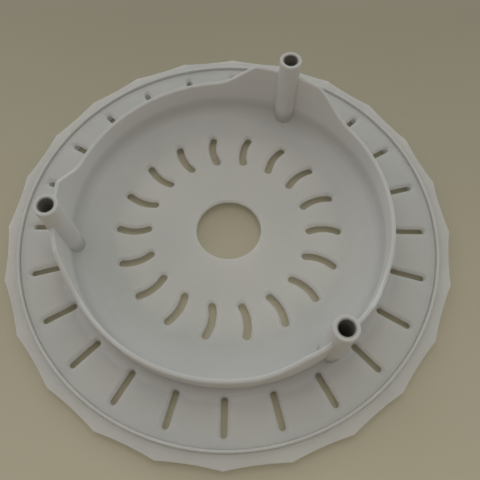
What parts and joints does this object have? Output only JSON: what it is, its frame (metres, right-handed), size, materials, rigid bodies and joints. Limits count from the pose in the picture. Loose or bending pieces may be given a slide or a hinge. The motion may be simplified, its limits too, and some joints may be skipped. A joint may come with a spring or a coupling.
{
  "type": "hood dryer diffuser",
  "caption": "Round slotted air diffuser of a salon hood dryer: a scalloped grille round a fan bowl whose eared wall backs tall stand-off posts with bored steel sleeves.",
  "frame": {"origin": "on the main axis, level with the end of the skirt on the front face, on which the part lies", "axes": "+Z out of the mounting side, towards the post tops; +X along a straight slot, 67.5 degrees clockwise of the first post seen from +Z"},
  "size_m": [0.2316, 0.2316, 0.051],
  "materials": {
    "white_moulding": "off-white heat-resistant moulding, semi-matt",
    "rim_seal": "off-white silicone, matt",
    "sleeve_steel": "thin rolled steel, dull grey and unpolished"
  },
  "bodies": {
    "root": {"front_grille": "white_moulding", "fan_bowl": "white_moulding", "rim_seal": "rim_seal", "mounting_post_1": "white_moulding", "mounting_post_2": "white_moulding", "mounting_post_3": "white_moulding", "post_sleeve_1": "sleeve_steel", "post_sleeve_2": "sleeve_steel", "post_sleeve_3": "sleeve_steel"}
  },
  "joints": []
}
